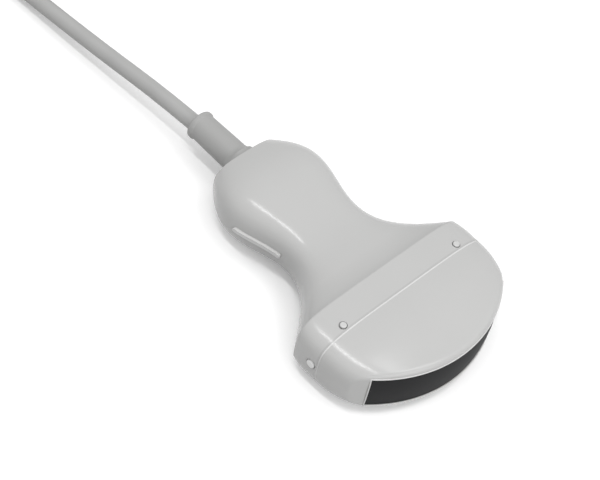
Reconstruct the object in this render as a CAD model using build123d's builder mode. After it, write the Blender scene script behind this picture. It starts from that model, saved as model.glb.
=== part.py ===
from build123d import *
from math import asin, copysign, cos, degrees, pi, radians, sin, sqrt, tan
import os

os.makedirs("parts", exist_ok=True)

# Convex ultrasound probe lying on a broad face. +Z is up, the lens faces -Y and the cable
# leaves along +Y. The origin is the middle of the probe's underside, without its cable.

# Outer form: full sizes across the probe
head_width = 73.0
head_thickness = 24.0
crease_width = 71.6
flare_width = 48.0
flare_thickness = 20.8
waist_width = 33.6
waist_thickness = 18.9
grip_width = 38.6
grip_thickness = 22.4
shoulder_width = 34.4
shoulder_thickness = 18.2
rear_face_width = 27.0
rear_face_thickness = 14.2
nose_front_thickness = 17.4

# Outer form: lengths along the probe, measured from the seam round the head
nose_length = 27.2
crease_setback = 10.2
flare_setback = 20.0
waist_setback = 30.5
grip_setback = 51.7
shoulder_setback = 68.8
handle_length = 73.8
crease_rise_deg = 35.0
crease_side_deg = 40.0

# Roundness of the cross-sections: 2 is an ellipse, larger is squarer
handle_squareness = 3.1
crease_squareness = 4.6
head_squareness = 4.4
outline_points = 32

# Walls and the joint round the head
wall = 2.2
rear_wall = 2.6
seal_thickness = 0.5
seal_recess = 0.05
skirt_wall = 1.3
skirt_length = 6.0
skirt_landing = 3.0
fit_clearance = 0.05
overrun = 1.0

# Curved array in the nose, radii measured from the centre of the lens arc
face_radius = 46.0
front_wall = 4.6
lip_radius = 1.9
lens_width = 59.8
lens_height = 14.2
lens_proud = 0.25
lens_crown = 0.5
lens_depth = 3.3
bond_gap = 0.05
slot_margin_deg = 0.3
matching_thickness = 0.35
stack_share = 0.97
element_count = 64
element_thickness = 0.6
element_height = 10.6
kerf = 0.12
backing_depth = 9.0
backing_height = 11.6
carrier_thickness = 2.0
carrier_tab_length = 7.0
carrier_tab_width = 8.0
carrier_tab_spacing = 18.0

# Locking pins behind the seam
broad_pin_setback = 1.95
side_pin_setback = 2.4
broad_pin_spacing = 51.2
broad_pin_radius = 1.2
side_pin_radius = 1.6
pin_proud = 0.5
pin_ring_gap = 0.2
pin_ring_depth = 0.5
pin_dome_radius = 0.45

# Orientation rib on one narrow side
rib_length = 17.8
rib_height = 1.5
rib_proud = 1.0
rib_depth = 0.9
rib_setback = 47.0
rib_rise = 0.0

# Strain relief and cable
cable_diameter = 5.9
relief_length = 22.8
relief_barrel_radius = 5.0
relief_taper = 0.3
relief_lip_radius = 5.45
relief_lip_length = 2.2
relief_base_radius = 6.4
relief_flare_length = 5.2
relief_step_length = 2.0
relief_lip_rounding = 0.7
relief_neck_radius = 4.3
relief_flange_radius = 5.3
relief_flange_thickness = 1.6
cable_tuck = 3.0

# Electronics
chassis_thickness = 1.6
chassis_front_width = 36.0
chassis_neck_width = 20.0
chassis_front_setback = 12.0
chassis_rear_setback = 69.4
chassis_step_setback = 12.5
fork_length = 6.0
spacer_height = 2.2
spacer_radius = 1.5
screw_radius = 0.8
screw_head_radius = 1.4
screw_head_height = 0.8
board_thickness = 1.0
board_margin = 0.8
board_front_setback = -3.5
board_rear_setback = 57.0
board_screw_setbacks = (9.5, 52.0)
board_screw_spacings = (28.0, 12.0)
flex_thickness = 0.15
flex_connector_width = 26.0
flex_connector_length = 3.0
shield_width = 22.0
shield_length = 11.0
shield_height = 1.8
shield_sheet = 0.3
shield_gap = 0.6
socket_width = 12.0
socket_length = 3.0
socket_height = 1.5
socket_setbacks = (24.0, 33.0, 42.0)
ribbon_width = 11.0
ribbon_thickness = 0.9
ribbon_lift_length = 7.0
ferrule_thickness = 1.1
ferrule_length = 2.8
clamp_width = 18.5
clamp_length = 2.8
clamp_height = 5.0
clamp_screw_spacing = 13.6

# Cable's way from the strain relief down to the floor, where it meets the coil: sideways,
# distance past the tip, and the share of its height at the tip that is left
cable_bends = (
    (0.0, 16.4, 1.0),
    (-1.8, 63.1, 0.324),
    (-5.0, 121.1, 0.0),
)
bend_share = 0.45

# Put-away length of the cable and the plug at its far end
coil_turn_radius = 29.8
coil_rings = 4
coil_layers = 2
coil_skin = 0.1
coil_edge_radius = 2.0
coil_stub = 22.5
coil_way_out = 26.4
plug_length = 36.0
plug_width = 30.0
plug_wall = 2.0
plug_corner_radius = 4.0
plug_edge_radius = 1.5
plug_boss_radius = 2.4
plug_boot_length = 12.0
plug_boot_radius = 5.6
plug_boot_tip_radius = 4.4
plug_boot_neck_radius = 4.0
contact_block_length = 12.0
contact_block_margin = 2.0
contact_flange_length = 3.0
contact_radius = 0.5
contact_columns = 10
contact_rows = 4
contact_pitch = 2.0
contact_proud = 0.6

# Places worked out from the sizes above
overall_length = nose_length + handle_length + relief_length
seam_y = nose_length - overall_length / 2
axis_z = head_thickness / 2
nose_rear_y = seam_y - seal_thickness
apex_y = seam_y - nose_length
arc_y = apex_y + face_radius
rear_y = seam_y + handle_length
relief_tip_y = rear_y + relief_length
crease_y = seam_y + crease_setback
cable_radius = cable_diameter / 2
lens_half_angle = degrees(asin(lens_width / 2 / face_radius))
cable_start_y = rear_y - rear_wall - relief_flange_thickness - cable_tuck
cable_floor_z = coil_skin + cable_radius

stack_half_angle = lens_half_angle * stack_share
lens_back_radius = face_radius - lens_depth
outer_matching_radius = lens_back_radius - bond_gap
inner_matching_radius = outer_matching_radius - matching_thickness - bond_gap
element_radius = inner_matching_radius - matching_thickness - bond_gap
backing_radius = element_radius - element_thickness - bond_gap
carrier_radius = backing_radius - backing_depth - bond_gap
chassis_arc_radius = carrier_radius - carrier_thickness - fit_clearance

board_inner_z = chassis_thickness / 2 + spacer_height
board_outer_z = board_inner_z + board_thickness
flex_z = backing_height / 2 + bond_gap


def station(y):
    """Plane across the probe at y, with its local x along X and its local y along Z."""
    return Plane((0, y, axis_z), x_dir=(1, 0, 0), z_dir=(0, -1, 0))


def broad_plane(height=0):
    """Plane along the probe, at a height above the probe's middle plane."""
    return Plane((0, 0, axis_z + height))


def outline(width, thickness, squareness, inset=0):
    """Closed rounded cross-section, drawn in the current line builder."""
    half_width = width / 2 - inset
    half_thickness = thickness / 2 - inset
    points = []
    for i in range(outline_points):
        c = cos(2 * pi * i / outline_points)
        s = sin(2 * pi * i / outline_points)
        x = copysign(half_width * abs(c) ** (2 / squareness), c)
        z = copysign(half_thickness * abs(s) ** (2 / squareness), s)
        points.append((x, z))
    Spline(*points, periodic=True)


def lofted(stations, inset=0):
    """Smooth solid through cross-sections given as place, width, thickness and squareness."""
    with BuildPart() as form:
        for y, width, thickness, squareness in stations:
            with BuildSketch(station(y)):
                with BuildLine():
                    outline(width, thickness, squareness, inset)
                make_face()
        loft()
    return form.part


def handle_form(inset=0, rear_inset=0):
    """Grip and flare, running on past the crease at its slope so that the head can trim it."""
    front_width = crease_width + 2 * crease_setback * tan(radians(crease_side_deg))
    front_thickness = head_thickness + 2 * crease_setback * tan(radians(crease_rise_deg))
    end_share = rear_inset / (handle_length - shoulder_setback)
    end_width = rear_face_width + (shoulder_width - rear_face_width) * end_share
    end_thickness = rear_face_thickness + (shoulder_thickness - rear_face_thickness) * end_share
    stations = [
        (seam_y, front_width, front_thickness, crease_squareness),
        (crease_y, crease_width, head_thickness, crease_squareness),
        (seam_y + flare_setback, flare_width, flare_thickness, handle_squareness),
        (seam_y + waist_setback, waist_width, waist_thickness, handle_squareness),
        (seam_y + grip_setback, grip_width, grip_thickness, handle_squareness),
        (seam_y + shoulder_setback, shoulder_width, shoulder_thickness, handle_squareness),
        (rear_y - rear_inset, end_width, end_thickness, handle_squareness),
    ]
    return lofted(stations, inset)


def head_form(inset=0):
    """Head behind the seam, drawn in toward the crease and carried on behind it."""
    # Share of the crease's setback, and of the head's width
    head_shares = ((0.0, 1.0), (0.5, 1.003), (1.0, 0.982), (1.5, 0.925), (2.2, 0.86))
    stations = []
    for length_share, width_share in head_shares:
        y = seam_y + crease_setback * length_share
        stations.append((y, head_width * width_share, head_thickness, head_squareness))
    stations.append((rear_y, head_width * head_shares[-1][1], head_thickness, head_squareness))
    return lofted(stations, inset)


def nose_form(inset=0):
    """Nose in front of the seam, before its front is rounded to the lens arc."""
    # Share of the nose's length, of the head's width, and of the drop in thickness
    nose_shares = (
        (0.00, 1.000, 0.00),
        (0.16, 0.992, 0.04),
        (0.32, 0.966, 0.14),
        (0.48, 0.920, 0.32),
        (0.72, 0.830, 0.64),
        (1.06, 0.700, 1.06),
    )
    drop = head_thickness - nose_front_thickness
    stations = []
    for length_share, width_share, drop_share in nose_shares:
        y = nose_rear_y - length_share * (nose_length - seal_thickness)
        stations.append((y, head_width * width_share, head_thickness - drop * drop_share, head_squareness))
    return lofted(stations, inset)


def section_block(y_from, y_to, inset, squareness=head_squareness):
    """Straight block with the head's cross-section between two places."""
    with BuildPart() as block:
        with BuildSketch(station(y_to)):
            with BuildLine():
                outline(head_width, head_thickness, squareness, inset)
            make_face()
        extrude(amount=y_to - y_from)
    return block.part


def arc_disc(radius):
    """Upright disc about the centre of the lens arc."""
    with BuildPart() as disc:
        with BuildSketch(Plane((0, arc_y, axis_z))):
            Circle(radius)
        extrude(amount=head_thickness, both=True)
    return disc.part


def arc_band(inner_radius, outer_radius, height, half_angle):
    """Curved block that follows the lens arc."""
    with BuildPart() as band:
        with BuildSketch(Plane((0, arc_y, axis_z))):
            with BuildLine():
                front = CenterArc((0, 0), outer_radius, 270 - half_angle, 2 * half_angle)
                back = CenterArc((0, 0), inner_radius, 270 - half_angle, 2 * half_angle)
                Line(front @ 0, back @ 0)
                Line(front @ 1, back @ 1)
            make_face()
        extrude(amount=height / 2, both=True)
    return band.part


def surface_height(x, width, thickness, squareness):
    """Height of a rounded cross-section above its middle at x."""
    return thickness / 2 * (1 - (2 * abs(x) / width) ** squareness) ** (1 / squareness)


def finish(builder, name):
    """Label a finished piece and write it."""
    builder.part.label = name
    export_step(builder.part, f"parts/{name}.step")


# Locking pins that hold the nose in the handle: one hole pattern for every piece they cross
broad_pin_y = seam_y + broad_pin_setback
side_pin_y = seam_y + side_pin_setback
broad_pin_z = surface_height(broad_pin_spacing / 2, head_width, head_thickness, head_squareness)
side_pin_x = head_width / 2
pin_grip = wall + fit_clearance + skirt_wall


def broad_bars(radius, inner, outer):
    """Two upright bars through each broad face, between two depths from the surface."""
    with BuildPart() as bars:
        for direction in (1, -1):
            with BuildSketch(broad_plane(direction * (broad_pin_z - inner))):
                with Locations((-broad_pin_spacing / 2, broad_pin_y), (broad_pin_spacing / 2, broad_pin_y)):
                    Circle(radius)
            extrude(amount=direction * (inner + outer))
    return bars.part


def side_bars(radius, inner, outer):
    """One level bar through each narrow side, between two depths from the surface."""
    with BuildPart() as bars:
        for direction in (1, -1):
            root = (direction * (side_pin_x - inner), side_pin_y, axis_z)
            with BuildSketch(Plane(root, x_dir=(0, 1, 0), z_dir=(direction, 0, 0))):
                Circle(radius)
            extrude(amount=inner + outer)
    return bars.part


# Orientation rib: a separate strip let into one narrow side of the handle
with BuildPart() as orientation_rib:
    add(handle_form(-rib_proud))
    rib_place = Plane((0, seam_y + rib_setback, axis_z + rib_rise), x_dir=(0, -1, 0), z_dir=(-1, 0, 0))
    with BuildSketch(rib_place):
        SlotOverall(rib_length, rib_height)
    extrude(amount=head_width / 2, mode=Mode.INTERSECT)
    add(handle_form(rib_depth), mode=Mode.SUBTRACT)
finish(orientation_rib, "orientation_rib")

# Handle shell: one moulded sleeve from the seam to the cable end
with BuildPart() as handle_cavity:
    add(handle_form(wall, rear_wall))
    add(head_form(wall), mode=Mode.INTERSECT)

with BuildPart() as handle_shell:
    add(handle_form())
    add(head_form(), mode=Mode.INTERSECT)
    add(handle_cavity.part, mode=Mode.SUBTRACT)
    add(orientation_rib.part, mode=Mode.SUBTRACT)
    add(broad_bars(broad_pin_radius + fit_clearance, pin_grip + overrun, overrun), mode=Mode.SUBTRACT)
    add(broad_bars(broad_pin_radius + pin_ring_gap, pin_ring_depth, overrun), mode=Mode.SUBTRACT)
    add(side_bars(side_pin_radius + fit_clearance, pin_grip + overrun, overrun), mode=Mode.SUBTRACT)
    add(side_bars(side_pin_radius + pin_ring_gap, pin_ring_depth, overrun), mode=Mode.SUBTRACT)
    with BuildSketch(station(rear_y)):
        Circle(relief_neck_radius + fit_clearance)
    extrude(amount=rear_wall + overrun, mode=Mode.SUBTRACT)
finish(handle_shell, "handle_shell")

# Nose housing: moulded nose with a skirt that slides into the handle
landing_y = nose_rear_y - skirt_landing
skirt_end_y = seam_y + skirt_length

with BuildPart() as nose_cavity:
    add(nose_form(wall))
    add(arc_disc(face_radius - front_wall), mode=Mode.INTERSECT)
    split(bisect_by=Plane.XZ.offset(-landing_y), keep=Keep.TOP)

with BuildPart() as nose_housing:
    add(nose_form())
    add(arc_disc(face_radius), mode=Mode.INTERSECT)
    fillet(nose_housing.faces().filter_by(GeomType.CYLINDER).edges(), lip_radius)
    add(section_block(nose_rear_y - overrun, skirt_end_y, wall + fit_clearance))
    add(section_block(landing_y - overrun, skirt_end_y + overrun, pin_grip), mode=Mode.SUBTRACT)
    add(nose_cavity.part, mode=Mode.SUBTRACT)
    window = (lens_back_radius - fit_clearance, face_radius + overrun, lens_height, lens_half_angle)
    add(arc_band(*window), mode=Mode.SUBTRACT)
    slot_height = 2 * (flex_z + flex_thickness + bond_gap)
    slot_back_radius = face_radius - front_wall - overrun
    add(arc_band(slot_back_radius, face_radius, slot_height, stack_half_angle + slot_margin_deg), mode=Mode.SUBTRACT)
    add(broad_bars(broad_pin_radius + fit_clearance, pin_grip + overrun, 0), mode=Mode.SUBTRACT)
    add(side_bars(side_pin_radius + fit_clearance, pin_grip + overrun, 0), mode=Mode.SUBTRACT)
finish(nose_housing, "nose_housing")

# Seam seal: flat ring in the joint, set back a little from the surface
with BuildPart() as seam_seal:
    add(section_block(nose_rear_y, seam_y, seal_recess))
    add(section_block(nose_rear_y - overrun, seam_y + overrun, wall), mode=Mode.SUBTRACT)
finish(seam_seal, "seam_seal")

# Locking pins: button heads that stand proud of the surface in a shallow ring
with BuildPart() as broad_locking_pins:
    add(broad_bars(broad_pin_radius, pin_grip, pin_proud))
    rims = broad_locking_pins.edges().filter_by(GeomType.CIRCLE).sort_by(Axis.Z)
    fillet(rims[:2] + rims[-2:], pin_dome_radius)
finish(broad_locking_pins, "broad_locking_pins")

with BuildPart() as side_locking_pins:
    add(side_bars(side_pin_radius, pin_grip, pin_proud))
    rims = side_locking_pins.edges().filter_by(GeomType.CIRCLE).sort_by(Axis.X)
    fillet(rims[:1] + rims[-1:], pin_dome_radius)
finish(side_locking_pins, "side_locking_pins")

# Acoustic lens: crowned band bonded into the window round the front
lens_end_angle = 270 - lens_half_angle
lens_end = (cos(radians(lens_end_angle)), sin(radians(lens_end_angle)), 0)

with BuildPart() as acoustic_lens:
    with BuildSketch(Plane((0, arc_y, axis_z), x_dir=lens_end, z_dir=(lens_end[1], -lens_end[0], 0))):
        with BuildLine():
            crown_radius = face_radius + lens_proud
            half_height = lens_height / 2 - fit_clearance
            low = (crown_radius - lens_crown, -half_height)
            high = (crown_radius - lens_crown, half_height)
            ThreePointArc(low, (crown_radius, 0), high)
            Polyline(high, (lens_back_radius, half_height), (lens_back_radius, -half_height), low)
        make_face()
    revolve(axis=Axis((0, arc_y, axis_z), (0, 0, 1)), revolution_arc=2 * lens_half_angle)
finish(acoustic_lens, "acoustic_lens")

# Acoustic stack behind the lens: two matching layers, the diced elements and the backing

with BuildPart() as matching_layer_outer:
    outer_back = outer_matching_radius - matching_thickness
    add(arc_band(outer_back, outer_matching_radius, element_height, stack_half_angle))
finish(matching_layer_outer, "matching_layer_outer")

with BuildPart() as matching_layer_inner:
    inner_back = inner_matching_radius - matching_thickness
    add(arc_band(inner_back, inner_matching_radius, element_height, stack_half_angle))
finish(matching_layer_inner, "matching_layer_inner")

element_middle_radius = element_radius - element_thickness / 2
element_step = 2 * stack_half_angle / element_count
element_width = element_middle_radius * radians(element_step) - kerf

with BuildPart() as piezo_elements:
    with BuildSketch(Plane((0, arc_y, axis_z))):
        first_angle = 270 - stack_half_angle + element_step / 2
        sweep_angle = element_step * (element_count - 1)
        with PolarLocations(element_middle_radius, element_count, first_angle, sweep_angle, endpoint=True):
            Rectangle(element_thickness, element_width)
    extrude(amount=element_height / 2, both=True)
finish(piezo_elements, "piezo_elements")

with BuildPart() as backing_block:
    add(arc_band(backing_radius - backing_depth, backing_radius, backing_height, stack_half_angle))
finish(backing_block, "backing_block")

# Array carrier: curved plate bonded behind the backing, with tabs screwed to the chassis
tab_y = arc_y - chassis_arc_radius + carrier_tab_length / 2
tab_places = [(-carrier_tab_spacing / 2, tab_y), (carrier_tab_spacing / 2, tab_y)]

with BuildPart() as array_carrier:
    add(arc_band(carrier_radius - carrier_thickness, carrier_radius, backing_height, stack_half_angle))
    with BuildSketch(broad_plane(chassis_thickness / 2)):
        with Locations(*tab_places):
            Rectangle(carrier_tab_width, carrier_tab_length + carrier_thickness * 2)
        with Locations((0, arc_y)):
            Circle(carrier_radius - carrier_thickness / 2, mode=Mode.INTERSECT)
    extrude(amount=chassis_thickness)
    with BuildSketch(broad_plane()):
        with Locations(*tab_places):
            Circle(screw_radius + fit_clearance)
    extrude(amount=head_thickness / 2, both=True, mode=Mode.SUBTRACT)
finish(array_carrier, "array_carrier")

# Chassis: flat plate that carries the boards, forked at the back round the cable
chassis_front_y = seam_y - chassis_front_setback
chassis_rear_y = seam_y + chassis_rear_setback
neck_front_y = seam_y + chassis_step_setback
clamp_y = chassis_rear_y - clamp_length / 2
clamp_screw_places = [(-clamp_screw_spacing / 2, clamp_y), (clamp_screw_spacing / 2, clamp_y)]
board_screw_places = []
for setback, spacing in zip(board_screw_setbacks, board_screw_spacings):
    board_screw_places.append((-spacing / 2, seam_y + setback))
    board_screw_places.append((spacing / 2, seam_y + setback))


def tee_sketch(front_y, step_y, rear_y, front_width, neck_width):
    """Tee outline with a wide end in the head and a neck in the handle."""
    with Locations((0, (front_y + step_y) / 2)):
        Rectangle(front_width, step_y - front_y)
    with Locations((0, (front_y + rear_y) / 2)):
        Rectangle(neck_width, rear_y - front_y)


with BuildPart() as chassis:
    with BuildSketch(broad_plane()):
        tee_sketch(chassis_front_y, neck_front_y, chassis_rear_y, chassis_front_width, chassis_neck_width)
        with Locations((0, arc_y)):
            Circle(chassis_arc_radius, mode=Mode.INTERSECT)
        with Locations((0, chassis_rear_y)):
            fork_width = 2 * (cable_radius + ferrule_thickness + fit_clearance)
            Rectangle(fork_width, 2 * fork_length, mode=Mode.SUBTRACT)
        with Locations(*tab_places, *clamp_screw_places, *board_screw_places):
            Circle(screw_radius + fit_clearance, mode=Mode.SUBTRACT)
    extrude(amount=chassis_thickness / 2, both=True)
finish(chassis, "chassis")

# Interconnect boards above and below the chassis, on spacers
board_front_y = seam_y + board_front_setback
board_rear_y = seam_y + board_rear_setback
board_step_y = neck_front_y - board_margin


def board_half(direction, name):
    """One interconnect board, on the side of the chassis that direction gives."""
    with BuildPart() as board:
        with BuildSketch(broad_plane(direction * board_inner_z)):
            front_width = chassis_front_width - 2 * board_margin
            neck_width = chassis_neck_width - 2 * board_margin
            tee_sketch(board_front_y, board_step_y, board_rear_y, front_width, neck_width)
            with Locations(*board_screw_places):
                Circle(screw_radius + fit_clearance, mode=Mode.SUBTRACT)
        extrude(amount=direction * board_thickness)
    finish(board, name)


board_half(1, "interconnect_board_upper")
board_half(-1, "interconnect_board_lower")

with BuildPart() as board_spacers:
    for direction in (1, -1):
        with BuildSketch(broad_plane(direction * chassis_thickness / 2)):
            with Locations(*board_screw_places):
                Circle(spacer_radius)
                Circle(screw_radius + fit_clearance, mode=Mode.SUBTRACT)
        extrude(amount=direction * spacer_height)
finish(board_spacers, "board_spacers")


def screws(places, top, bottom, name):
    """Pan-head screws through the stack between two heights, with nuts underneath."""
    with BuildPart() as group:
        with BuildSketch(broad_plane(bottom)):
            with Locations(*places):
                Circle(screw_radius)
        extrude(amount=top - bottom)
        with BuildSketch(broad_plane(top)):
            with Locations(*places):
                Circle(screw_head_radius)
        extrude(amount=screw_head_height)
        with BuildSketch(broad_plane(bottom)):
            with Locations(*places):
                RegularPolygon(screw_head_radius, 6)
        extrude(amount=-screw_head_height)
    finish(group, name)


screws(board_screw_places, board_outer_z, -board_outer_z, "board_screws")
screws(tab_places, chassis_thickness * 3 / 2, -chassis_thickness / 2, "carrier_screws")
screws(clamp_screw_places, clamp_height, -clamp_height, "clamp_screws")

# Flex circuits from the elements back to a connector on each board
connector_y = board_front_y + flex_connector_length / 2


def flex_half(direction, name):
    """Thin circuit that follows the elements' arc in front and ends on the connector."""
    with BuildPart() as flex:
        with BuildSketch(broad_plane(direction * flex_z)):
            with BuildLine():
                front = CenterArc((0, arc_y), element_radius, 270 - stack_half_angle, 2 * stack_half_angle)
                tail_left = (-flex_connector_width / 2, connector_y)
                tail_right = (flex_connector_width / 2, connector_y)
                tail_end = connector_y + flex_connector_length / 2
                Polyline(front @ 1, tail_right, (tail_right[0], tail_end), (tail_left[0], tail_end), tail_left, front @ 0)
            make_face()
        extrude(amount=direction * flex_thickness)
    finish(flex, name)


flex_half(1, "flex_circuit_upper")
flex_half(-1, "flex_circuit_lower")

with BuildPart() as flex_connectors:
    for direction in (1, -1):
        with BuildSketch(broad_plane(direction * board_outer_z)):
            with Locations((0, connector_y)):
                Rectangle(flex_connector_width, flex_connector_length)
        extrude(amount=direction * (flex_z - board_outer_z))
finish(flex_connectors, "flex_connectors")

# Shield covers: drawn tin lids over the wide end of each board
shield_y = board_front_y + flex_connector_length + shield_gap + shield_length / 2


def shield_half(direction, name):
    """Open tin lid standing on the outer face of a board."""
    with BuildPart() as shield:
        with BuildSketch(broad_plane(direction * board_outer_z)):
            with Locations((0, shield_y)):
                Rectangle(shield_width, shield_length)
        extrude(amount=direction * shield_height)
        with BuildSketch(broad_plane(direction * board_outer_z)):
            with Locations((0, shield_y)):
                Rectangle(shield_width - 2 * shield_sheet, shield_length - 2 * shield_sheet)
        extrude(amount=direction * (shield_height - shield_sheet), mode=Mode.SUBTRACT)
    finish(shield, name)


shield_half(1, "shield_upper")
shield_half(-1, "shield_lower")

# Coax sockets on the necks of the boards, and the ribbons that reach them
with BuildPart() as coax_sockets:
    for direction in (1, -1):
        with BuildSketch(broad_plane(direction * board_outer_z)):
            with Locations(*[(0, seam_y + setback) for setback in socket_setbacks]):
                Rectangle(socket_width, socket_length)
        extrude(amount=direction * socket_height)
finish(coax_sockets, "coax_sockets")

ribbon_z = board_outer_z + socket_height


def ribbon_half(direction, name):
    """Flat lay of fine coax from the cable's end up onto the sockets of one board."""
    front_y = seam_y + socket_setbacks[0] - socket_length / 2
    lift_y = cable_start_y - ribbon_lift_length
    side = Plane((0, 0, axis_z), x_dir=(0, 1, 0), z_dir=(1, 0, 0))
    with BuildPart() as ribbon:
        with BuildSketch(side):
            with BuildLine():
                low = [(cable_start_y, 0), (lift_y, ribbon_z), (front_y, ribbon_z)]
                high = [(y, z + ribbon_thickness) for y, z in reversed(low)]
                Polyline(*[(y, direction * z) for y, z in low + high], close=True)
            make_face()
        extrude(amount=ribbon_width / 2, both=True)
    finish(ribbon, name)


ribbon_half(1, "coax_ribbon_upper")
ribbon_half(-1, "coax_ribbon_lower")

# Ferrule crimped round the cable's braid, held by a clamp screwed to the chassis fork
with BuildPart() as crimp_ferrule:
    with BuildSketch(station(cable_start_y)):
        Circle(cable_radius + ferrule_thickness)
        Circle(cable_radius + fit_clearance, mode=Mode.SUBTRACT)
    extrude(amount=-ferrule_length)
finish(crimp_ferrule, "crimp_ferrule")


def clamp_half(direction, name):
    """Saddle over one half of the ferrule."""
    with BuildPart() as saddle:
        with BuildSketch(station(chassis_rear_y)):
            saddle_height = clamp_height - chassis_thickness / 2
            with Locations((0, direction * (chassis_thickness / 2 + saddle_height / 2))):
                Rectangle(clamp_width, saddle_height)
            Circle(cable_radius + ferrule_thickness + fit_clearance, mode=Mode.SUBTRACT)
        extrude(amount=clamp_length)
        with BuildSketch(broad_plane()):
            with Locations(*clamp_screw_places):
                Circle(screw_radius + fit_clearance)
        extrude(amount=head_thickness, both=True, mode=Mode.SUBTRACT)
    finish(saddle, name)


clamp_half(1, "cable_clamp_upper")
clamp_half(-1, "cable_clamp_lower")

# Strain relief: soft tapered sleeve with a lip, its flange captive inside the handle
with BuildPart() as strain_relief:
    with BuildSketch(Plane((0, 0, axis_z))):
        with BuildLine():
            bore = cable_radius + fit_clearance
            flange_front = rear_y - rear_wall - relief_flange_thickness
            flare_end = rear_y + relief_flare_length
            lip_start = relief_tip_y - relief_lip_length
            barrel_foot = relief_barrel_radius + relief_taper
            Polyline(
                (bore, flange_front),
                (relief_flange_radius, flange_front),
                (relief_flange_radius, rear_y - rear_wall),
                (relief_neck_radius, rear_y - rear_wall),
                (relief_neck_radius, rear_y),
                (relief_base_radius, rear_y),
                (relief_base_radius, rear_y + relief_step_length),
            )
            TangentArc(
                (relief_base_radius, rear_y + relief_step_length),
                (barrel_foot, flare_end),
                tangent=(-1, 1),
            )
            Polyline(
                (barrel_foot, flare_end),
                (relief_barrel_radius, lip_start),
                (relief_lip_radius, lip_start + relief_lip_length / 3),
                (relief_lip_radius, relief_tip_y),
                (bore, relief_tip_y),
                (bore, flange_front),
            )
        make_face()
    revolve(axis=Axis((0, 0, axis_z), (0, 1, 0)))
    fillet(strain_relief.edges().group_by(Axis.Y)[-1].sort_by(SortBy.RADIUS)[-1], relief_lip_rounding)
finish(strain_relief, "strain_relief")

# Cable: out through the strain relief and down to the coil, as straight runs and wide bends
cable_points = [Vector(0, cable_start_y, axis_z)]
for sideways, reach, height_share in cable_bends:
    height = cable_floor_z + (axis_z - cable_floor_z) * height_share
    cable_points.append(Vector(sideways, relief_tip_y + reach, height))
coil_touch = cable_points[-1]
way_in = (coil_touch - cable_points[-2]).normalized()
cable_end = coil_touch - way_in * coil_stub
cable_points[-1] = cable_end

bend_radii = []
for before, corner, after in zip(cable_points, cable_points[1:], cable_points[2:]):
    run_in = corner - before
    run_out = after - corner
    half_turn = radians(run_in.get_angle(run_out)) / 2
    bend_radii.append(bend_share * min(run_in.length, run_out.length) / tan(half_turn))

with BuildPart() as cable:
    with BuildLine() as cable_path:
        FilletPolyline(*cable_points, radius=bend_radii)
    with BuildSketch(Plane(cable_points[0], x_dir=(1, 0, 0), z_dir=(0, 1, 0))):
        Circle(cable_radius)
    sweep(path=cable_path.line)
finish(cable, "cable")

# Coil of the put-away cable: the outer shape of its turns, with the way in and the way out
coil_outer_radius = coil_turn_radius + cable_diameter * (coil_rings - 1) / 2
coil_side = Vector(way_in.Y, -way_in.X, 0).normalized()
coil_centre = Vector(coil_touch.X, coil_touch.Y, 0) + coil_side * coil_outer_radius
coil_height = cable_diameter * coil_layers + 2 * coil_skin
plug_x = coil_centre.X - coil_outer_radius
plug_z = cable_floor_z + cable_diameter * (coil_layers - 1)
plug_boot_y = coil_centre.Y + coil_way_out

with BuildPart() as cable_coil:
    with BuildSketch(Plane(coil_centre)):
        Circle(coil_outer_radius + cable_radius + coil_skin)
        Circle(coil_outer_radius - cable_diameter * (coil_rings - 0.5) - coil_skin, mode=Mode.SUBTRACT)
    extrude(amount=coil_height)
    fillet(cable_coil.edges().filter_by(GeomType.CIRCLE), coil_edge_radius)
    with BuildSketch(Plane(cable_end, x_dir=(1, 0, 0), z_dir=way_in)):
        Circle(cable_radius)
    extrude(amount=coil_stub)
    with BuildSketch(Plane((plug_x, plug_boot_y, plug_z), x_dir=(1, 0, 0), z_dir=(0, 1, 0))):
        Circle(cable_radius)
    extrude(amount=-coil_way_out)
finish(cable_coil, "cable_coil")

# Plug for the system: two covers screwed together round a contact block and a cable boot
plug_rear_y = plug_boot_y + plug_boot_length
plug_front_y = plug_rear_y + plug_length
plug_plane = Plane((plug_x, (plug_rear_y + plug_front_y) / 2, plug_z))
plug_side_x = plug_width / 2 - plug_wall / 2 - plug_boss_radius
plug_screw_ys = (
    -plug_length / 2 + plug_wall / 2 + plug_boss_radius,
    plug_length / 2 - contact_block_length - plug_boss_radius - plug_wall,
)
plug_screw_places = [(side * plug_side_x, y) for side in (-1, 1) for y in plug_screw_ys]
block_height = 2 * (plug_z - plug_wall - contact_block_margin)
block_width = plug_width - 2 * plug_wall - 2 * contact_block_margin


def plug_cross_plane(y):
    """Plane across the plug at y, with its normal away from the cable."""
    return Plane((plug_x, y, plug_z), x_dir=(1, 0, 0), z_dir=(0, 1, 0))


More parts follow.
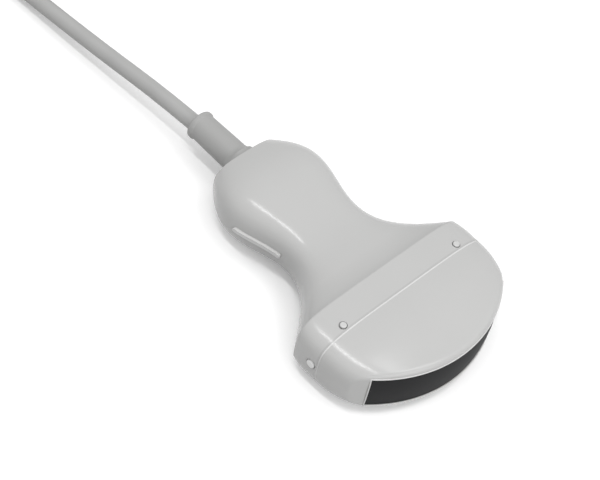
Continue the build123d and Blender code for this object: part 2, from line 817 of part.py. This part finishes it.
def plug_half(direction, name):
    """One cover, from the parting plane to the side that direction gives."""
    with BuildPart() as cover:
        with BuildSketch(plug_plane):
            RectangleRounded(plug_width, plug_length, plug_corner_radius)
        extrude(amount=direction * plug_z)
        outer_face = cover.faces().sort_by(Axis.Z)[-1 if direction > 0 else 0]
        fillet(outer_face.edges(), plug_edge_radius)
        with BuildSketch(plug_plane):
            Rectangle(plug_width - 2 * plug_wall, plug_length - 2 * plug_wall)
        extrude(amount=direction * (plug_z - plug_wall), mode=Mode.SUBTRACT)
        with BuildSketch(plug_plane):
            with Locations(*plug_screw_places):
                Circle(plug_boss_radius)
        extrude(amount=direction * (plug_z - plug_wall / 2))
        with BuildSketch(plug_plane):
            with Locations(*plug_screw_places):
                Circle(screw_radius + fit_clearance)
        extrude(amount=plug_z if direction > 0 else -plug_z / 2 - fit_clearance, mode=Mode.SUBTRACT)
        if direction > 0:
            with BuildSketch(plug_plane.offset(plug_z - screw_head_height)):
                with Locations(*plug_screw_places):
                    Circle(screw_head_radius + fit_clearance)
            extrude(amount=screw_head_height, mode=Mode.SUBTRACT)
        with BuildSketch(plug_cross_plane(plug_front_y + overrun)):
            Rectangle(block_width + 2 * fit_clearance, block_height + 2 * fit_clearance)
        extrude(amount=-plug_wall - 2 * overrun, mode=Mode.SUBTRACT)
        with BuildSketch(plug_cross_plane(plug_rear_y - overrun)):
            Circle(plug_boot_neck_radius + fit_clearance)
        extrude(amount=plug_wall + 2 * overrun, mode=Mode.SUBTRACT)
    finish(cover, name)


plug_half(1, "plug_cover_upper")
plug_half(-1, "plug_cover_lower")

contact_places = GridLocations(contact_pitch, contact_pitch, contact_columns, contact_rows)

with BuildPart() as plug_contact_block:
    with BuildSketch(plug_cross_plane(plug_front_y)):
        Rectangle(block_width, block_height)
    extrude(amount=-contact_block_length)
    with BuildSketch(plug_cross_plane(plug_front_y - plug_wall - fit_clearance)):
        Rectangle(block_width + contact_block_margin, block_height + contact_block_margin)
    extrude(amount=-contact_flange_length)
    with BuildSketch(plug_cross_plane(plug_front_y)):
        with contact_places:
            Circle(contact_radius + fit_clearance)
    extrude(amount=-contact_block_length, mode=Mode.SUBTRACT)
finish(plug_contact_block, "plug_contact_block")

with BuildPart() as plug_contacts:
    with BuildSketch(plug_cross_plane(plug_front_y + contact_proud)):
        with contact_places:
            Circle(contact_radius)
    extrude(amount=-contact_block_length - 2 * contact_proud)
finish(plug_contacts, "plug_contacts")

with BuildPart() as plug_screws:
    with BuildSketch(plug_plane.offset(-plug_z / 2)):
        with Locations(*plug_screw_places):
            Circle(screw_radius)
    extrude(amount=plug_z * 3 / 2 - screw_head_height)
    with BuildSketch(plug_plane.offset(plug_z - screw_head_height)):
        with Locations(*plug_screw_places):
            Circle(screw_head_radius)
    extrude(amount=screw_head_height)
finish(plug_screws, "plug_screws")

with BuildPart() as plug_cable_boot:
    with BuildSketch(plug_cross_plane(plug_boot_y)):
        Circle(plug_boot_tip_radius)
    with BuildSketch(plug_cross_plane(plug_rear_y)):
        Circle(plug_boot_radius)
    loft()
    with BuildSketch(plug_cross_plane(plug_rear_y)):
        Circle(plug_boot_neck_radius)
    extrude(amount=plug_wall + fit_clearance)
    with BuildSketch(plug_cross_plane(plug_rear_y + plug_wall + fit_clearance)):
        Circle(plug_boot_radius)
    extrude(amount=relief_flange_thickness)
finish(plug_cable_boot, "plug_cable_boot")
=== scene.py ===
from math import asin, cos, pi, radians, sin

import bpy
from mathutils import Matrix, Vector


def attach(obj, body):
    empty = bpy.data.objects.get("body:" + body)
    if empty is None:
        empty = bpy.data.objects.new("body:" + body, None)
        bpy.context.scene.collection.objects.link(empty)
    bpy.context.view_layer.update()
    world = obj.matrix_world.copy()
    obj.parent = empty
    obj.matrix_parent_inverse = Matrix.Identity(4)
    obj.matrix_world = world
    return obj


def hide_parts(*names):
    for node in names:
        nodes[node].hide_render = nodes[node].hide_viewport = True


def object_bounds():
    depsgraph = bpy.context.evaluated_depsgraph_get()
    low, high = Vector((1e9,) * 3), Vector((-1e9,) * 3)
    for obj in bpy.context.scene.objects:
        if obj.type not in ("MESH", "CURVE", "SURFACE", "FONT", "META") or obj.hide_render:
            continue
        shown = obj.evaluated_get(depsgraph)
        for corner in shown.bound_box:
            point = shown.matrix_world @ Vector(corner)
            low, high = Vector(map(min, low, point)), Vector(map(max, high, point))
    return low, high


# Convex ultrasound probe on a white table, seen from above its left side. Metres and watts throughout.
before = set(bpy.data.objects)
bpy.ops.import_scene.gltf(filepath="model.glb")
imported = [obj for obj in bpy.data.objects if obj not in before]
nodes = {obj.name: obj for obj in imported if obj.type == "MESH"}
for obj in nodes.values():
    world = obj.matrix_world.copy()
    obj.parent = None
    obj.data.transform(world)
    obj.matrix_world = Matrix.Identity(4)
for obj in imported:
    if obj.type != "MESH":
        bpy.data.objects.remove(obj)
cad_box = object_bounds()

# Places that part.py works out, repeated here in metres
SEAM_Y = -0.0347
NOSE_LENGTH = 0.0272
AXIS_Z = 0.012
CABLE_DIAMETER = 0.0059
CABLE_FLOOR_Z = 0.00305
COIL_CENTRE = (0.033591, 0.185129)
COIL_TURN_RADIUS = 0.0298
COIL_RINGS = 4
PLUG_BOOT_Y = 0.211529

# Camera, as the photograph was taken
CAMERA_AZIMUTH = radians(-53.77)
CAMERA_ELEVATION = radians(51.52)
CAMERA_ROLL = radians(13.21)
CAMERA_DISTANCE = 0.51486
CAMERA_PIVOT_SETBACK = 0.020
CAMERA_AIM = (-0.01765, 0.00912)
CAMERA_CLIP = (0.01, 20.0)
FOCAL_PIXELS = 1601.0
PICTURE_WIDTH = 600
SENSOR_WIDTH = 36.0


def add_camera():
    """Camera at the photograph's place, with its slight roll."""
    back = Vector((
        sin(CAMERA_AZIMUTH) * cos(CAMERA_ELEVATION),
        -cos(CAMERA_AZIMUTH) * cos(CAMERA_ELEVATION),
        sin(CAMERA_ELEVATION),
    ))
    level = Vector((cos(CAMERA_AZIMUTH), sin(CAMERA_AZIMUTH), 0))
    upright = back.cross(level)
    right = cos(CAMERA_ROLL) * level + sin(CAMERA_ROLL) * upright
    up = cos(CAMERA_ROLL) * upright - sin(CAMERA_ROLL) * level
    pivot = Vector((0, SEAM_Y + CAMERA_PIVOT_SETBACK, AXIS_Z))
    place = pivot + right * CAMERA_AIM[0] + up * CAMERA_AIM[1] + back * CAMERA_DISTANCE
    data = bpy.data.cameras.new("camera")
    data.sensor_width = SENSOR_WIDTH
    data.lens = FOCAL_PIXELS * SENSOR_WIDTH / PICTURE_WIDTH
    data.clip_start, data.clip_end = CAMERA_CLIP
    camera = bpy.data.objects.new("camera", data)
    bpy.context.scene.collection.objects.link(camera)
    rotation = Matrix((right, up, back)).transposed().to_4x4()
    camera.matrix_world = Matrix.Translation(place) @ rotation
    bpy.context.scene.camera = camera


def add_bar(name, points, kind, radius, roundness):
    """Round bar along a line of points; returns its object and its spline."""
    data = bpy.data.curves.new(name + "_line", "CURVE")
    data.dimensions = "3D"
    data.bevel_depth = radius
    data.bevel_resolution = roundness
    spline = data.splines.new(kind)
    spline.points.add(len(points) - 1)
    for point, place in zip(spline.points, points):
        point.co = (*place, 1.0)
    bar = bpy.data.objects.new(name, data)
    bpy.context.scene.collection.objects.link(bar)
    return bar, spline


# Cable. Its line starts inside the strain relief and comes down to the coil by the tube's turning
# points, which are moved a little toward the photograph
ROUTE = [
    (0.0, 0.0325, AXIS_Z),
    (-0.0003, 0.0680, 0.0118),
    (-0.0032, 0.1200, 0.0072),
]
CABLE_SMOOTHNESS = 6
CABLE_ROUNDNESS = 8
COIL_OUTER_RADIUS = COIL_TURN_RADIUS + CABLE_DIAMETER * (COIL_RINGS - 1) / 2
COIL_TURNS = 2 * COIL_RINGS
POINTS_PER_TURN = 30

# Angle, in radians, by which the first turn begins ahead of the last one's end
COIL_WAY_IN = 0.0551

# Part of a turn in which each layer's turns cross over to the next ring
CROSSING_LOWER = (0.78, 1.0)
CROSSING_UPPER = (0.54, 0.76)


def eased(value, low, high):
    """0 below low, 1 above high and a smooth rise between."""
    share = min(max((value - low) / (high - low), 0.0), 1.0)
    return share * share * (3 - 2 * share)


def coil_points():
    """Lower layer wound inward, upper layer wound back outward.

    The points stand a little outside the turns, because the spline runs inside them.
    """
    points = []
    spread = 1 / cos(pi / POINTS_PER_TURN)
    steps = COIL_TURNS * POINTS_PER_TURN
    for step in range(steps + 1):
        turns = step / POINTS_PER_TURN
        whole = min(int(turns), COIL_TURNS - 1)
        part = turns - whole
        if whole < COIL_RINGS - 1:
            ring = whole + eased(part, *CROSSING_LOWER)
            lift = 0.0
        elif whole == COIL_RINGS - 1:
            ring = COIL_RINGS - 1
            lift = eased(part, *CROSSING_LOWER)
        else:
            last_turn = whole == COIL_TURNS - 1
            shift = 0.0 if last_turn else eased(part, *CROSSING_UPPER)
            ring = COIL_TURNS - 1 - whole - shift
            lift = 1.0
        radius = (COIL_OUTER_RADIUS - CABLE_DIAMETER * ring) * spread
        angle = pi + COIL_WAY_IN * (1 - step / steps) - 2 * pi * turns
        x = COIL_CENTRE[0] + radius * cos(angle)
        y = COIL_CENTRE[1] + radius * sin(angle)
        points.append((x, y, CABLE_FLOOR_Z + CABLE_DIAMETER * lift))
    return points


def add_cable():
    """The whole cable as one smooth curve, from inside the strain relief to the plug's boot."""
    tail = (COIL_CENTRE[0] - COIL_OUTER_RADIUS, PLUG_BOOT_Y, CABLE_FLOOR_Z + CABLE_DIAMETER)
    points = ROUTE + coil_points() + [tail]
    cable, spline = add_bar("cable_run", points, "NURBS", CABLE_DIAMETER / 2, CABLE_ROUNDNESS)
    spline.order_u = 3
    spline.use_endpoint_u = True
    cable.data.resolution_u = CABLE_SMOOTHNESS
    cable.data.use_fill_caps = True
    cable.data.materials.append(plain_material("cable_jacket", *CABLE_FINISH))
    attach(cable, "root")
    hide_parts("cable", "cable_coil")


# Bead round the lens's window, where the housing is drawn over it; its light colour is a painted
# highlight along the window's edge
FACE_RADIUS = 0.046
ARC_Y = SEAM_Y - NOSE_LENGTH + FACE_RADIUS
LENS_HALF_WIDTH = 0.0301
LENS_HALF_HEIGHT = 0.0073
LENS_EDGE_RADIUS = 0.00024
LENS_EDGE_CROWN = 0.00035
LENS_EDGE_STEPS = 48
LENS_END_STEPS = 8
LENS_EDGE_ROUNDNESS = 3


def add_lens_edge():
    """Fine bead along the four edges of the window; its two ends are crowned as the lens is."""
    half_angle = asin(LENS_HALF_WIDTH / FACE_RADIUS)
    places = []
    for side in (1, -1):
        for step in range(LENS_EDGE_STEPS):
            places.append((side * half_angle * (2 * step / LENS_EDGE_STEPS - 1), -side))
        for step in range(LENS_END_STEPS):
            places.append((side * half_angle, side * (2 * step / LENS_END_STEPS - 1)))
    points = []
    for angle, height_share in places:
        radius = FACE_RADIUS + LENS_EDGE_CROWN * (1 - height_share ** 2)
        height = AXIS_Z + LENS_HALF_HEIGHT * height_share
        points.append((radius * sin(angle), ARC_Y - radius * cos(angle), height))
    edge, spline = add_bar("lens_edge", points, "POLY", LENS_EDGE_RADIUS, LENS_EDGE_ROUNDNESS)
    spline.use_cyclic_u = True
    edge.data.materials.append(plain_material("lens_edge_painted_highlight", *LENS_EDGE_HIGHLIGHT_FINISH))
    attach(edge, "root")


# What a plain material has where its finish says nothing else. Blotch and grain are texture scales
PLAIN_TRAITS = {
    "variation": 0.04,
    "blotch": 60.0,
    "grain": 2500.0,
    "height": 0.00001,
    "metallic": 0.0,
    "specular": 0.5,
    "stretch": (1, 1, 1),
}
BLOTCH_DETAIL = 1.0
GRAIN_DETAIL = 2.0

# Finishes: colour, roughness and the traits that differ from the plain ones
HOUSING_FINISH = ((0.515, 0.515, 0.51), 0.2, {"variation": 0.012, "height": 0.000003})
CABLE_FINISH = ((0.42, 0.42, 0.415), 0.5, {"variation": 0.05, "blotch": 90.0, "grain": 1500.0})
# The lens edge's light colour is a painted highlight
LENS_EDGE_HIGHLIGHT_FINISH = ((0.68, 0.68, 0.675), 0.45, {"variation": 0.02})
LENS_TRAITS = {"variation": 0.06, "height": 0.000004, "specular": 0.08}
METAL = {"metallic": 1.0}
DRAWN_ALLOY = {"metallic": 1.0, "stretch": (1, 10, 1)}
ROLLED_SHEET = {"metallic": 1.0, "stretch": (6, 1, 1)}

# Each material's finish and the nodes that have it
MATERIALS = {
    "shell_plastic": (HOUSING_FINISH, ("handle_shell",)),
    "nose_plastic": (HOUSING_FINISH, ("nose_housing",)),
    "seal_rubber": (((0.68, 0.68, 0.675), 0.6, {}), ("seam_seal",)),
    "rib_plastic": (((0.66, 0.66, 0.655), 0.3, {"variation": 0.01}), ("orientation_rib",)),
    "lens_silicone": (((0.021, 0.021, 0.022), 0.55, LENS_TRAITS), ("acoustic_lens",)),
    "boot_rubber": (
        ((0.385, 0.385, 0.38), 0.55, {"variation": 0.03}),
        ("strain_relief", "plug_cable_boot"),
    ),
    "backing": (((0.08, 0.08, 0.085), 0.8, {}), ("backing_block",)),
    "piezo_ceramic": (((0.78, 0.74, 0.64), 0.45, {}), ("piezo_elements",)),
    "matching_epoxy": (
        ((0.32, 0.27, 0.21), 0.5, {}),
        ("matching_layer_outer", "matching_layer_inner"),
    ),
    "board_mask": (
        ((0.03, 0.20, 0.09), 0.35, {"variation": 0.08}),
        ("interconnect_board_upper", "interconnect_board_lower"),
    ),
    "flex_film": (((0.55, 0.27, 0.06), 0.3, {}), ("flex_circuit_upper", "flex_circuit_lower")),
    "connector_nylon": (((0.80, 0.77, 0.68), 0.5, {}), ("flex_connectors", "coax_sockets")),
    "machined_alloy": (
        ((0.68, 0.69, 0.70), 0.35, DRAWN_ALLOY),
        ("array_carrier", "chassis", "cable_clamp_upper", "cable_clamp_lower"),
    ),
    "shield_sheet": (((0.66, 0.66, 0.66), 0.4, ROLLED_SHEET), ("shield_upper", "shield_lower")),
    "fastener_steel": (
        ((0.60, 0.60, 0.60), 0.3, METAL),
        ("carrier_screws", "board_screws", "clamp_screws", "plug_screws"),
    ),
    "brass": (((0.72, 0.56, 0.28), 0.3, METAL), ("board_spacers", "crimp_ferrule")),
    "ribbon_film": (((0.16, 0.24, 0.38), 0.5, {}), ("coax_ribbon_upper", "coax_ribbon_lower")),
    "plug_plastic": (
        ((0.56, 0.56, 0.555), 0.45, {"variation": 0.02}),
        ("plug_cover_upper", "plug_cover_lower"),
    ),
    "plug_insulator": (((0.06, 0.06, 0.065), 0.5, {}), ("plug_contact_block",)),
    "contact_gold": (((0.85, 0.62, 0.26), 0.22, METAL), ("plug_contacts",)),
}

# Pins: colour, the axis across the pin and the pin's place on it, its place along the probe, radius
PINS = {
    "broad_locking_pins": ((0.60, 0.60, 0.595), ("X", 0.0256), SEAM_Y + 0.00195, 0.0012),
    # The side pins' lighter colour is a painted highlight on their domes
    "side_locking_pins": ((0.86, 0.86, 0.855), ("Z", AXIS_Z), SEAM_Y + 0.0024, 0.0016),
}
PIN_ROUGHNESS = 0.35
# Painted shade at each pin's rim: the share of the radius where it starts and ends, and how dark it
# gets
PIN_SHADED_RIM = (0.84, 1.0)
PIN_RIM_SHADE = 0.55
PIN_GRAIN = 2500.0
PIN_GRAIN_DETAIL = 4.0
PIN_GRAIN_HEIGHT = 0.000006

# Painted shade on the shell, along the seam and behind the crease of the head: share of the way back
# from the seam, and how dark it is there
PAINTED_SHADE_REACH = 0.025
PAINTED_SHADE_STOPS = (
    (0.008, 0.90),
    (0.020, 0.91),
    (0.030, 1.0),
    (0.395, 1.0),
    (0.412, 0.86),
    (0.50, 0.92),
    (0.75, 1.0),
)

# Range that a noise texture fills, and how far the gloss follows it
NOISE_RANGE = (0.1, 0.9)
GLOSS_VARIATION = 0.07


def feed(tree, value, socket):
    """Give a socket a plain number or another node's output."""
    if isinstance(value, (int, float)):
        socket.default_value = value
    else:
        tree.links.new(value, socket)


def math_node(tree, operation, *values):
    """One sum of one or two values, each an output or a plain number."""
    node = tree.nodes.new("ShaderNodeMath")
    node.operation = operation
    for value, socket in zip(values, node.inputs):
        feed(tree, value, socket)
    return node.outputs["Value"]


def map_range(tree, source, low, high, source_range=(0.0, 1.0)):
    """Number between two limits that follows a source over its range."""
    node = tree.nodes.new("ShaderNodeMapRange")
    node.inputs["From Min"].default_value, node.inputs["From Max"].default_value = source_range
    feed(tree, low, node.inputs["To Min"])
    feed(tree, high, node.inputs["To Max"])
    tree.links.new(source, node.inputs["Value"])
    return node.outputs["Result"]


def ramp(tree, source, low, high, source_range):
    """Colour between two others that follows a source over its range."""
    node = tree.nodes.new("ShaderNodeValToRGB")
    for stop, place, colour in zip(node.color_ramp.elements, source_range, (low, high)):
        stop.position = place
        stop.color = (*colour, 1.0)
    tree.links.new(source, node.inputs["Fac"])
    return node.outputs["Color"]


def axes_of(tree, coordinates="Object"):
    """X, Y and Z of each point, as one node's outputs."""
    source = tree.nodes.new("ShaderNodeTexCoord")
    node = tree.nodes.new("ShaderNodeSeparateXYZ")
    tree.links.new(source.outputs[coordinates], node.inputs["Vector"])
    return node.outputs


def noise(tree, scale, detail, stretch=(1, 1, 1)):
    """Noise texture in the part's own metres."""
    coordinates = tree.nodes.new("ShaderNodeTexCoord")
    mapping = tree.nodes.new("ShaderNodeMapping")
    mapping.inputs["Scale"].default_value = stretch
    texture = tree.nodes.new("ShaderNodeTexNoise")
    texture.inputs["Scale"].default_value = scale
    texture.inputs["Detail"].default_value = detail
    tree.links.new(coordinates.outputs["Object"], mapping.inputs["Vector"])
    tree.links.new(mapping.outputs["Vector"], texture.inputs["Vector"])
    return texture.outputs["Fac"]


def bump(tree, shader, source, height):
    """Relief of a real height in metres."""
    node = tree.nodes.new("ShaderNodeBump")
    node.inputs["Strength"].default_value = 1.0
    node.inputs["Distance"].default_value = height
    tree.links.new(source, node.inputs["Height"])
    tree.links.new(node.outputs["Normal"], shader.inputs["Normal"])


def tinted(colour, factor):
    """Colour made lighter or darker."""
    return tuple(channel * factor for channel in colour)


def new_material(name, roughness, metallic=0.0, specular=0.5):
    """Principled material without textures; returns it with its shader and its tree."""
    material = bpy.data.materials.new(name)
    material.use_nodes = True
    tree = material.node_tree
    shader = tree.nodes["Principled BSDF"]
    shader.inputs["Roughness"].default_value = roughness
    shader.inputs["Metallic"].default_value = metallic
    shader.inputs["Specular IOR Level"].default_value = specular
    return material, shader, tree


def plain_material(name, colour, roughness, traits):
    """Satin or matte material with slow colour variation, uneven gloss and a fine grain."""
    traits = {**PLAIN_TRAITS, **traits}
    material, shader, tree = new_material(name, roughness, traits["metallic"], traits["specular"])
    slow = noise(tree, traits["blotch"], BLOTCH_DETAIL)
    variation = traits["variation"]
    low, high = tinted(colour, 1 - variation), tinted(colour, 1 + variation)
    tree.links.new(ramp(tree, slow, low, high, NOISE_RANGE), shader.inputs["Base Color"])
    glossy, dull = roughness * (1 - GLOSS_VARIATION), roughness * (1 + GLOSS_VARIATION)
    tree.links.new(map_range(tree, slow, glossy, dull, NOISE_RANGE), shader.inputs["Roughness"])
    grain = noise(tree, traits["grain"], GRAIN_DETAIL, traits["stretch"])
    bump(tree, shader, grain, traits["height"])
    return material


def add_painted_shade(material):
    """Painted shade on the shell: darker along the seam and behind the crease of the head."""
    tree = material.node_tree
    colour = tree.nodes["Principled BSDF"].inputs["Base Color"]
    unshaded_colour = colour.links[0].from_socket
    shade_ramp = tree.nodes.new("ShaderNodeValToRGB")
    stops = shade_ramp.color_ramp.elements
    for share, factor in PAINTED_SHADE_STOPS:
        stops.new(share).color = (factor, factor, factor, 1.0)
    stops.remove(stops[0])
    stops.remove(stops[-1])
    behind_seam = math_node(tree, "SUBTRACT", axes_of(tree)["Y"], SEAM_Y)
    tree.links.new(math_node(tree, "DIVIDE", behind_seam, PAINTED_SHADE_REACH), shade_ramp.inputs["Fac"])
    mix = tree.nodes.new("ShaderNodeMixRGB")
    mix.blend_type = "MULTIPLY"
    mix.inputs["Fac"].default_value = 1.0
    tree.links.new(unshaded_colour, mix.inputs["Color1"])
    tree.links.new(shade_ramp.outputs["Color"], mix.inputs["Color2"])
    tree.links.new(mix.outputs["Color"], colour)


def pin_material(name, colour, across, centre_y, radius):
    """Pin head that darkens toward its rim, as painted shade for the groove round it."""
    material, shader, tree = new_material(name, PIN_ROUGHNESS)
    axes = axes_of(tree)
    axis, centre = across
    from_middle = math_node(tree, "ABSOLUTE", axes[axis])
    first = math_node(tree, "SUBTRACT", from_middle, centre)
    second = math_node(tree, "SUBTRACT", axes["Y"], centre_y)
    squares = [math_node(tree, "MULTIPLY", value, value) for value in (first, second)]
    distance = math_node(tree, "SQRT", math_node(tree, "ADD", *squares))
    share = math_node(tree, "DIVIDE", distance, radius)
    shaded_tone = ramp(tree, share, colour, tinted(colour, PIN_RIM_SHADE), PIN_SHADED_RIM)
    tree.links.new(shaded_tone, shader.inputs["Base Color"])
    bump(tree, shader, noise(tree, PIN_GRAIN, PIN_GRAIN_DETAIL), PIN_GRAIN_HEIGHT)
    return material


def dress(name, material):
    """One CAD node's material, with smooth shading."""
    mesh = nodes[name].data
    mesh.materials.clear()
    mesh.materials.append(material)
    for polygon in mesh.polygons:
        polygon.use_smooth = True


def dress_nodes():
    """A material for every CAD node that shows its own shape."""
    for label, (finish, names) in MATERIALS.items():
        material = plain_material(label, *finish)
        # The shell's colour gets painted shade along the seam and behind the crease of the head
        if label == "shell_plastic":
            add_painted_shade(material)
        for name in names:
            dress(name, material)
    for name, pin in PINS.items():
        dress(name, pin_material(name, *pin))


# Light: three soft boxes, and surroundings that darken toward the horizon
LAMPS = {
    "key": {"place": (0.31, -0.35, 1.10), "size": (0.45, 0.45), "power": 1.9, "tilt": 0},
    "strip": {"place": (-0.24, 0.05, 1.15), "size": (0.07, 0.80), "power": 3.2, "tilt": 0},
    "front": {"place": (-0.40, -1.0, 0.46), "size": (1.20, 0.80), "power": 4.4, "tilt": 66},
}
HORIZON_LIGHT = 0.20
OVERHEAD_LIGHT = 0.92

# Floor: its real tone, and a glow for direct sight alone that grows where the lamps fall off
FLOOR_SIZE = 12.0
FLOOR_ROUGHNESS = 0.9
FLOOR_BOUNCE = (0.40, 0.40, 0.40)
FLOOR_GLOW_NEAR = 0.16
FLOOR_GLOW_FAR = 0.38
FLOOR_GLOW_REACH = (0.45, 1.10)
WHITE = (1.0, 1.0, 1.0)


def seen_directly(tree):
    """1 for what the camera sees, also in a reflection or through something clear, and else 0."""
    path = tree.nodes.new("ShaderNodeLightPath")
    seen = path.outputs["Is Camera Ray"]
    for name in ("Is Glossy Ray", "Is Transmission Ray"):
        seen = math_node(tree, "MAXIMUM", seen, path.outputs[name])
    return seen


def add_floor():
    """Plain white table that keeps the object's shadow."""
    mesh = bpy.data.meshes.new("floor")
    reach = FLOOR_SIZE / 2
    corners = [(-reach, -reach, 0), (reach, -reach, 0), (reach, reach, 0), (-reach, reach, 0)]
    mesh.from_pydata(corners, [], [(0, 1, 2, 3)])
    floor = bpy.data.objects.new("floor", mesh)
    floor.location.z = cad_box[0][2]
    bpy.context.scene.collection.objects.link(floor)
    material, shader, tree = new_material("floor_white", FLOOR_ROUGHNESS, specular=0.0)
    direct = seen_directly(tree)
    tree.links.new(ramp(tree, direct, FLOOR_BOUNCE, WHITE, (0.0, 1.0)), shader.inputs["Base Color"])
    coordinates = tree.nodes.new("ShaderNodeTexCoord")
    distance = tree.nodes.new("ShaderNodeVectorMath")
    distance.operation = "LENGTH"
    tree.links.new(coordinates.outputs["Object"], distance.inputs[0])
    away = distance.outputs["Value"]
    glow = map_range(tree, away, FLOOR_GLOW_NEAR, FLOOR_GLOW_FAR, FLOOR_GLOW_REACH)
    shader.inputs["Emission Color"].default_value = (*WHITE, 1.0)
    tree.links.new(math_node(tree, "MULTIPLY", glow, direct), shader.inputs["Emission Strength"])
    mesh.materials.append(material)


def add_lamps():
    """Soft boxes: a square one and a strip that face straight down, and a wide one in front."""
    for name, lamp in LAMPS.items():
        data = bpy.data.lights.new(name, "AREA")
        data.shape = "RECTANGLE"
        data.size, data.size_y = lamp["size"]
        data.energy = lamp["power"]
        light = bpy.data.objects.new(name, data)
        bpy.context.scene.collection.objects.link(light)
        light.location = lamp["place"]
        light.rotation_euler.x = radians(lamp["tilt"])


def add_world():
    """Surroundings brighter overhead than at the horizon, with plain white behind the object."""
    world = bpy.data.worlds.new("studio")
    world.use_nodes = True
    tree = world.node_tree
    background = tree.nodes["Background"]
    background.inputs["Color"].default_value = (*WHITE, 1.0)
    light = map_range(tree, axes_of(tree, "Generated")["Z"], HORIZON_LIGHT, OVERHEAD_LIGHT)
    strength = map_range(tree, seen_directly(tree), light, 1.0)
    tree.links.new(strength, background.inputs["Strength"])
    bpy.context.scene.world = world


add_camera()
add_cable()
dress_nodes()
add_lens_edge()
add_floor()
add_world()
add_lamps()

bpy.context.scene.view_settings.view_transform = "Standard"
